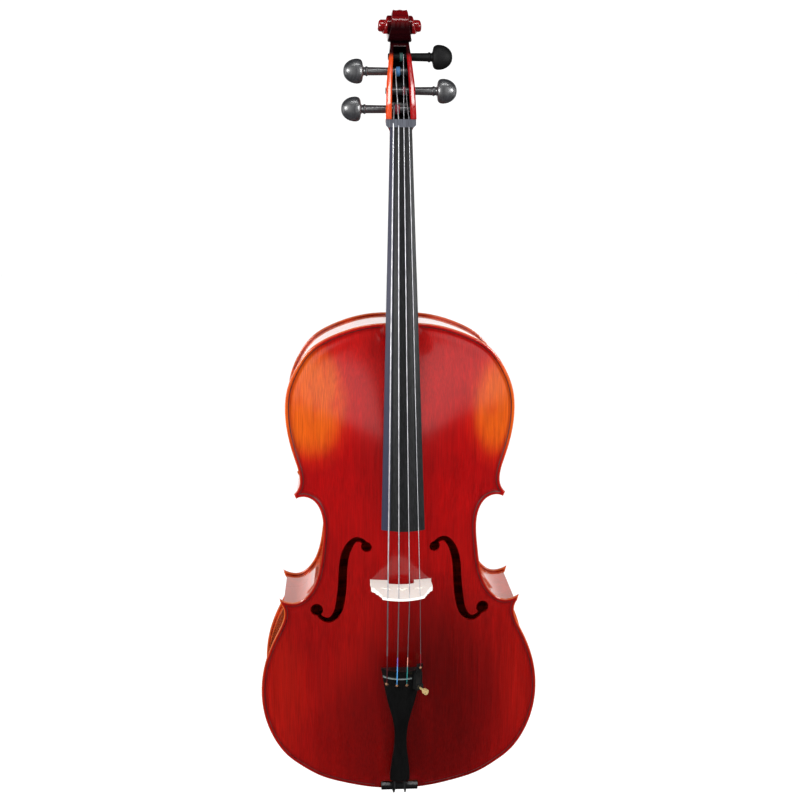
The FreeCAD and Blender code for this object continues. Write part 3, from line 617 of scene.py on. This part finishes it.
# Red varnish over spruce: orange where it thins towards the upper bouts, maroon low in the middle,
# rubbed to gold along the rim.
def front_varnish():
    g = Graph("front_varnish")
    place = g.position()
    xyz = g.split(place)
    drift = g.noise(g.scaled(place, (14, 14, 9)), 1.0, 3.0)
    cloud = g.noise(g.scaled(place, (26, 26, 7)), 1.0, 4.0, 0.6)
    wide = g.noise(g.scaled(place, (130, 30, 5)), 1.0, 4.0)
    fine, grain = fibres(g, place, 0.0011, 0.07, 0.74, 1.14)
    base = g.mix(g.span(xyz[2], 0.26, 0.56), colour(132, 4, 1), colour(156, 0, 1))
    base = g.mix(g.span(xyz[2], 0.56, 0.66), base, colour(178, 3, 1))
    base = g.mix(g.span(drift, 0.35, 0.75, 0.0, 0.45), base, colour(124, 0, 3))
    dark = g.math("MAXIMUM", g.oval(xyz, (0.050, 0.165), (0.140, 0.27)),
                  g.times(g.oval(xyz, (-0.02, 0.11), (0.14, 0.19)), 0.7))
    base = g.mix(g.math("MULTIPLY", dark, g.span(cloud, 0.2, 0.7, 0.8, 1.0)), base,
                 colour(78, 1, 1))
    left = g.oval(xyz, (-0.134, 0.672), (0.080, 0.124))
    right = g.times(g.oval(xyz, (0.150, 0.662), (0.068, 0.114)), 0.9)
    low_left = g.times(g.oval(xyz, (-0.200, 0.200), (0.085, 0.165)), 0.22)
    low_right = g.times(g.oval(xyz, (0.205, 0.225), (0.080, 0.150)), 0.13)
    burst = g.math("MAXIMUM", g.math("MAXIMUM", left, right), g.math("MAXIMUM", low_left, low_right))
    burst = g.math("MULTIPLY", burst, g.span(cloud, 0.2, 0.6, 0.7, 1.1), True)
    orange = g.mix(g.span(burst, 0.35, 1.0), colour(190, 28, 1), colour(208, 84, 4))
    base = g.mix(g.span(burst, 0.08, 1.0, smooth=False), base, orange)
    rim = g.add("Attribute", {"attribute_name": "rim"}).outputs["Fac"]
    waist = g.between(xyz[2], *WAIST_ZONE, 0.03)
    rubbed = g.times(g.span(rim, 2.2, 0.7), g.span(xyz[2], 0.10, 0.36, 0.12, 0.7),
                     g.span(waist, 0.0, 1.0, 1.0, 0.35), g.span(cloud, 0.25, 0.6, 0.6, 1.0))
    base = g.mix(rubbed, base, colour(220, 108, 46))
    base = g.mix(g.times(g.between(rim, 4.4, 9.5, 1.6), 0.4), base, colour(104, 0, 4))
    shade = grey(g, g.math("MULTIPLY", grain, g.span(wide, 0.2, 0.8, 0.86, 1.1)))
    g.set(Base_Color=g.mix(1.0, base, shade, "MULTIPLY"))
    gloss(g, g.span(cloud, 0.2, 0.8, 0.24, 0.36), 1.0, 0.15)
    g.bump(g.math("ADD", g.times(fine, 0.3), g.times(drift, 3.0)), 0.3, 0.0008)
    return g.material


# Maple with its flame across the fibres; the spread is how closely the flames follow one another.
def flamed(g, place, light, dark, spread):
    wave = g.noise(g.scaled(place, (9, 9, 9)), 1.0, 2.0)
    flame = g.noise(g.scaled(place, (6, 6, spread)), 1.0, 3.0, 0.5, 0.6)
    fine, grain = fibres(g, place, 0.0014, 0.04, 0.84, 1.10)
    base = g.mix(g.span(flame, 0.38, 0.64), dark, light)
    base = g.mix(g.span(wave, 0.35, 0.75, 0.0, 0.4), base, dark)
    return fine, g.mix(1.0, base, grey(g, grain), "MULTIPLY"), wave


# Orange-red varnish over flamed maple: the ribs and the back, whose rim is rubbed to gold.
def maple_varnish():
    g = Graph("maple_varnish")
    place = g.position()
    fine, base, wave = flamed(g, place, colour(196, 44, 16), colour(128, 6, 8), 75)
    rim = g.add("Attribute", {"attribute_name": "rim"}).outputs["Fac"]
    rubbed = g.times(g.between(rim, 0.01, 2.4, 0.6), 0.5)
    g.set(Base_Color=g.mix(rubbed, base, colour(226, 116, 54)))
    gloss(g, g.span(wave, 0.2, 0.8, 0.24, 0.34), 1.0, 0.06)
    g.bump(fine, 0.06, 0.0003)
    return g.material


# The neck: bare-looking shaft, varnished head with a blackened hollow, and painted shade in the deep
# throat under the scroll and on the ledge at the top of the hollow.
def neck_varnish():
    g = Graph("neck_varnish")
    place = g.position()
    xyz = g.split(place)
    fine, base, wave = flamed(g, place, colour(144, 6, 10), colour(96, 1, 5), 95)
    shaft = g.between(xyz[2], *SHAFT_ZONE, 0.008)
    base = g.mix(g.times(shaft, 0.8), base, colour(196, 104, 46))
    cheek = g.between(xyz[2], *CHEEK_ZONE, 0.006)
    side = g.span(xyz[0], -0.003, 0.003, 1.0, 0.0)
    base = g.mix(g.times(cheek, side, 0.9), base, colour(214, 68, 12))
    base = g.mix(g.times(cheek, g.span(xyz[0], -0.003, 0.003), 0.7), base, colour(166, 8, 12))
    # Painted shade: the scroll's front and the throat under it darken to near black.
    painted_throat_shade = g.times(g.span(xyz[2], *THROAT_TOP), g.span(xyz[2], *THROAT_LOW),
                     g.span(xyz[1], *THROAT_DEPTH), g.span(g.math("ABSOLUTE", xyz[0]), *THROAT_HALF))
    base = g.mix(g.times(painted_throat_shade, 0.95), base, colour(12, 2, 4))
    wide = g.span(xyz[2], 1.078, 1.182, 0.0147, 0.0104, False)
    inner = g.math("LESS_THAN", g.math("ABSOLUTE", xyz[0]), wide)
    front = g.span(xyz[2], 1.078, 1.184, -0.0587, -0.0172, False)
    behind = g.math("GREATER_THAN", xyz[1], front)
    back = g.span(xyz[2], 1.080, 1.190, -0.024, 0.0101, False)
    ahead = g.math("LESS_THAN", xyz[1], back)
    level = g.between(xyz[2], *HOLLOW_ZONE, 0.0003)
    hollow = g.times(inner, behind, ahead, level)
    base = g.mix(hollow, base, colour(14, 11, 12))
    # Painted shade: the ledge at the top of the hollow is darkened where it would catch light.
    painted_ledge_shade = g.times(g.between(xyz[2], *NECK_TOP_ZONE, 0.003), ahead, 0.92)
    base = g.mix(painted_ledge_shade, base, colour(14, 3, 5))
    g.set(Base_Color=base)
    blackened_and_painted_shade = g.math("MAXIMUM", hollow, g.math("MAXIMUM", painted_throat_shade, painted_ledge_shade))
    coat = g.math("MULTIPLY", g.span(shaft, 0.0, 1.0, 1.0, 0.25), g.span(blackened_and_painted_shade, 0.0, 1.0, 1.0, 0.1))
    gloss(g, g.span(wave, 0.2, 0.8, 0.24, 0.34), coat, 0.12)
    g.bump(fine, 0.02, 0.0002)
    return g.material


def plain_wood(name, light, dark, roughness, coat, coat_roughness=0.12, specular=0.5):
    g = Graph(name)
    place = g.position()
    fine = g.noise(g.scaled(place, (500, 500, 22)), 1.0, 4.0)
    wide = g.noise(g.scaled(place, (40, 40, 8)), 1.0, 3.0)
    base = g.mix(g.span(fine, 0.35, 0.68), dark, light)
    base = g.mix(g.span(wide, 0.4, 0.8, 0.0, 0.35), base, dark)
    g.set(Base_Color=base, Roughness=g.span(wide, 0.2, 0.8, roughness, roughness + 0.12))
    g.set(Coat_Weight=coat, Coat_Roughness=coat_roughness, Specular_IOR_Level=specular)
    g.bump(fine, 0.04, 0.0003)
    return g.material


# The fingerboard, with painted reflection on the flat under the lowest string, which is coloured paler.
def board_ebony():
    g = Graph("board_ebony")
    place = g.position()
    xyz = g.split(place)
    half = g.span(xyz[2], 0.4966, 1.067, 0.0315, 0.0156, False)
    share = g.math("DIVIDE", xyz[0], half)
    fine = g.noise(g.scaled(place, (600, 600, 18)), 1.0, 4.0)
    wide = g.noise(g.scaled(place, (60, 60, 6)), 1.0, 3.0)
    base = g.mix(g.span(fine, 0.3, 0.7), colour(15, 16, 17), colour(30, 31, 33))
    base = g.mix(g.span(wide, 0.4, 0.8, 0.0, 0.4), base, colour(13, 14, 15))
    # Painted reflection: the flat under the lowest string is coloured a paler blue-grey.
    base = g.mix(g.times(g.span(share, -0.58, -0.66), 0.75), base, colour(50, 51, 76))
    g.set(Base_Color=base, Roughness=g.span(wide, 0.2, 0.8, 0.34, 0.46))
    g.set(Coat_Weight=0.02, Coat_Roughness=0.2, Specular_IOR_Level=0.11)
    g.bump(fine, 0.08, 0.0003)
    return g.material


def metal(name, tint, roughness, scratches, metallic=1.0):
    g = Graph(name)
    place = g.position()
    fine = g.noise(g.scaled(place, scratches), 1.0, 3.0)
    wide = g.noise(place, 60.0, 2.0)
    shade = g.mix(g.span(wide, 0.3, 0.8, 0.0, 0.5), tint, tuple(0.7 * t for t in tint[:3]) + (1,))
    g.set(Base_Color=shade, Metallic=metallic)
    g.set(Roughness=g.span(fine, 0.3, 0.7, roughness, roughness + 0.14))
    g.bump(fine, 0.05, 0.0001)
    return g.material


# Flat-wound steel with painted dark reflection below the bridge, and wrapped in silk of two colours at
# the tailpiece.
def string_wire(name, low_silk, top_silk, silk_top):
    g = Graph("string_" + name)
    place = g.position()
    xyz = g.split(place)
    turns = g.noise(g.scaled(place, (300, 300, 3500)), 1.0, 2.0)
    wide = g.noise(place, 80.0, 2.0)
    steel = g.mix(g.span(wide, 0.3, 0.8), colour(184, 184, 188), colour(146, 146, 152))
    # Painted dark reflection: the strings below the bridge are darkened.
    painted_dark_reflection = g.span(xyz[2], *BRIDGE_ZONE, 0.0, 0.8)
    steel = g.mix(painted_dark_reflection, steel, colour(92, 84, 88))
    silk = g.mix(g.span(xyz[2], silk_top - 0.022, silk_top - 0.012), low_silk, top_silk)
    share = g.span(xyz[2], silk_top, silk_top - 0.001)
    g.set(Base_Color=g.mix(share, steel, silk))
    g.set(Metallic=g.span(share, 0.0, 1.0, 0.6, 0.0))
    g.set(Roughness=g.span(turns, 0.3, 0.7, 0.36, 0.5))
    g.bump(turns, 0.1, 0.0001)
    return g.material


def soft_matter(name, light, dark, roughness, scale):
    g = Graph(name)
    place = g.position()
    fine = g.noise(place, scale, 5.0)
    g.set(Base_Color=g.mix(g.span(fine, 0.35, 0.7), dark, light))
    g.set(Roughness=g.span(fine, 0.3, 0.7, roughness, roughness + 0.12))
    g.bump(fine, 0.2, 0.0002)
    return g.material


def make_materials():
    return {
        "spruce_varnish": front_varnish(),
        "maple_varnish": maple_varnish(),
        "neck": neck_varnish(),
        "purfling_wood": plain_wood("purfling_wood", colour(92, 8, 8), colour(50, 3, 5), 0.25, 0.6),
        "inner_spruce": plain_wood("inner_spruce", colour(222, 190, 140), colour(190, 150, 98),
                                   0.6, 0.0),
        "ebony": plain_wood("ebony", colour(40, 41, 45), colour(20, 20, 23), 0.26, 0.5),
        "peg": plain_wood("peg_ebony", colour(48, 49, 54), colour(32, 33, 37), 0.42, 1.0,
                          0.24, 0.4),
        # Painted shade: the highest peg's ebony as a darker, matt copy.
        "peg_dark": plain_wood("peg_dark_ebony", colour(16, 16, 17), colour(10, 10, 11), 0.5, 0.0,
                               specular=0.1),
        "fingerboard": board_ebony(),
        # Painted sheen: the nut's ebony is coloured mid grey for its lit face.
        "nut": plain_wood("nut_ebony", colour(92, 95, 104), colour(70, 72, 80), 0.6, 0.0, specular=0.1),
        "tailpiece": plain_wood("tailpiece_ebony", colour(10, 10, 11), colour(4, 4, 4), 0.36, 0.12),
        "saddle": plain_wood("saddle_ebony", colour(12, 12, 13), colour(5, 5, 5), 0.24, 0.5),
        "bridge_maple": plain_wood("bridge_maple", colour(255, 255, 253), colour(253, 248, 236),
                                   0.45, 0.1),
        "string_ball_ends": metal("dull_brass", colour(150, 108, 78), 0.4, (800, 800, 800), 0.3),
        "string_steel": metal("string_steel", colour(214, 214, 218), 0.25, (300, 300, 3000)),
        "string_c": string_wire("c", colour(70, 14, 22), colour(90, 20, 28), 0.297),
        "string_g": string_wire("g", colour(70, 150, 215), colour(104, 92, 176), 0.297),
        "string_d": string_wire("d", colour(40, 140, 140), colour(232, 150, 130), 0.297),
        "string_a": string_wire("a", colour(120, 16, 34), colour(150, 30, 44), 0.300),
        "silk_red": soft_matter("silk_red", colour(190, 40, 66), colour(110, 12, 30), 0.6, 1800),
        "silk_blue": soft_matter("silk_blue", colour(80, 160, 215), colour(40, 90, 150), 0.6, 1800),
        "silk_teal": soft_matter("silk_teal", colour(50, 120, 110), colour(20, 64, 62), 0.6, 1800),
        "fret_metal": metal("fret_metal", colour(120, 130, 130), 0.4, (900, 200, 200), 0.3),
        "black_metal": soft_matter("black_metal", colour(20, 21, 22), colour(9, 9, 10), 0.36, 900),
        "gold_brass": metal("gold_brass", colour(246, 214, 150), 0.2, (800, 800, 200), 0.6),
        "cord_black": soft_matter("cord_black", colour(30, 30, 32), colour(14, 14, 15), 0.55, 1500),
        "endpin_steel": metal("endpin_steel", colour(215, 215, 220), 0.16, (900, 900, 60), 0.85),
        "rubber_black": soft_matter("rubber_black", colour(32, 32, 34), colour(20, 20, 22), 0.7, 700),
    }


# Every CAD node wears the material named after it, or else the one of its slot.
def dress_cad_nodes(materials):
    for part in frame["record"]["subparts"]:
        node = frame["nodes"][part["node"]]
        own = materials.get(part["node"], materials[part["material_slot"]])
        node.data.materials.clear()
        node.data.materials.append(own)


# ---------------------------------------------------------------- stage

WORLD_STRENGTH = 1.12
FLOOR_LEVEL = -0.41
FLOOR_HALF = 14.0

# Lamps: place, the point they face, width and height, watts, and whether they light matt surfaces
# as well as glossy ones.
MIDDLE = (0, 0, 0.62)
SHOULDER = (0, 0, 1.1)
LAMPS = {
    "front_left": ((-0.74, -2.5, 1.2), MIDDLE, (0.8, 2.1), 6.0, True),
    "front_right": ((0.80, -2.5, 1.25), MIDDLE, (0.85, 2.2), 6.6, True),
    "side_left": ((-2.2, -0.7, 1.0), MIDDLE, (1.2, 2.0), 20, True),
    "side_right": ((2.2, -0.7, 1.0), MIDDLE, (1.2, 2.0), 16, True),
    "spark_left": ((-1.55, -1.9, 1.45), SHOULDER, (0.7, 0.7), 64, False),
    "spark_right": ((1.55, -1.9, 1.45), SHOULDER, (0.7, 0.7), 54, False),
    "above": ((0.15, -1.6, 2.7), MIDDLE, (1.5, 0.24), 26, False),
    "behind": ((0, 1.6, 1.2), (0, 0, 1.2), (6.0, 2.3), 62, False),
}


def add_camera():
    yaw, pitch, roll = (math.radians(a) for a in (CAMERA_YAW, CAMERA_PITCH, CAMERA_ROLL))
    ahead = Vector((math.sin(yaw) * math.cos(pitch), math.cos(yaw) * math.cos(pitch),
                    -math.sin(pitch)))
    right = Vector((math.cos(yaw), -math.sin(yaw), 0))
    up = right.cross(ahead)
    across = right * math.cos(roll) + up * math.sin(roll)
    above = up * math.cos(roll) - right * math.sin(roll)
    data = bpy.data.cameras.new("camera")
    data.lens = CAMERA_LENS
    data.sensor_width = CAMERA_SENSOR
    data.dof.use_dof = False
    camera = bpy.data.objects.new("camera", data)
    turn = Matrix((across, above, -ahead)).transposed().to_4x4()
    camera.matrix_world = Matrix.Translation(CAMERA_PLACE) @ turn
    bpy.context.scene.collection.objects.link(camera)
    bpy.context.scene.camera = camera


def add_light(name, place, target, size, power, diffuse):
    data = bpy.data.lights.new(name, "AREA")
    data.shape = "RECTANGLE"
    data.size, data.size_y = size
    data.energy = power
    light = bpy.data.objects.new(name, data)
    light.location = place
    light.visible_camera = False
    light.visible_diffuse = diffuse
    look = Vector(target) - Vector(place)
    light.rotation_euler = look.to_track_quat("-Z", "Y").to_euler()
    bpy.context.scene.collection.objects.link(light)


# A white room that lights the object evenly; what the varnish mirrors are the lamps.
def add_world():
    world = bpy.data.worlds.new("studio")
    bpy.context.scene.world = world
    world.use_nodes = True
    background = world.node_tree.nodes["Background"]
    background.inputs["Color"].default_value = (1, 1, 1, 1)
    background.inputs["Strength"].default_value = WORLD_STRENGTH
    world.cycles_visibility.glossy = False


# The floor lies where the endpin's tip reaches when it is pulled right out.
def add_floor():
    g = Graph("floor_paper")
    place = g.position()
    speck = g.noise(place, 60.0, 3.0)
    g.set(Base_Color=g.mix(speck, colour(250, 250, 250), colour(253, 253, 253)), Roughness=0.9)
    corners = [(x * FLOOR_HALF, y * FLOOR_HALF, FLOOR_LEVEL)
               for x, y in ((-1, -1), (1, -1), (1, 1), (-1, 1))]
    mesh = bpy.data.meshes.new("floor")
    mesh.from_pydata(corners, [], [(0, 1, 2, 3)])
    mesh.materials.append(g.material)
    floor = bpy.data.objects.new("floor", mesh)
    bpy.context.scene.collection.objects.link(floor)
    floor.visible_glossy = False


def add_stage():
    bpy.context.scene.view_settings.view_transform = "Standard"
    add_camera()
    add_world()
    add_floor()
    for name, settings in LAMPS.items():
        add_light(name, *settings)


# ---------------------------------------------------------------- making

materials = make_materials()
dress_cad_nodes(materials)
front_outline = build_plate("front_plate_wood", "front_plate", -1, FRONT_ARCH,
                            hole_outlines("front_plate"), materials["spruce_varnish"])
build_purfling("purfling_front_strip", "purfling_front", -1, FRONT_ARCH, front_outline,
               materials["purfling_wood"])
back_outline = build_plate("back_plate_wood", "back_plate", 1, BACK_ARCH, [],
                           materials["maple_varnish"])
build_purfling("purfling_back_strip", "purfling_back", 1, BACK_ARCH, back_outline,
               materials["purfling_wood"])
build_neck(materials["neck"])
build_scroll(materials["neck"])
build_pegs(materials["peg"], materials["peg_dark"])
add_stage()
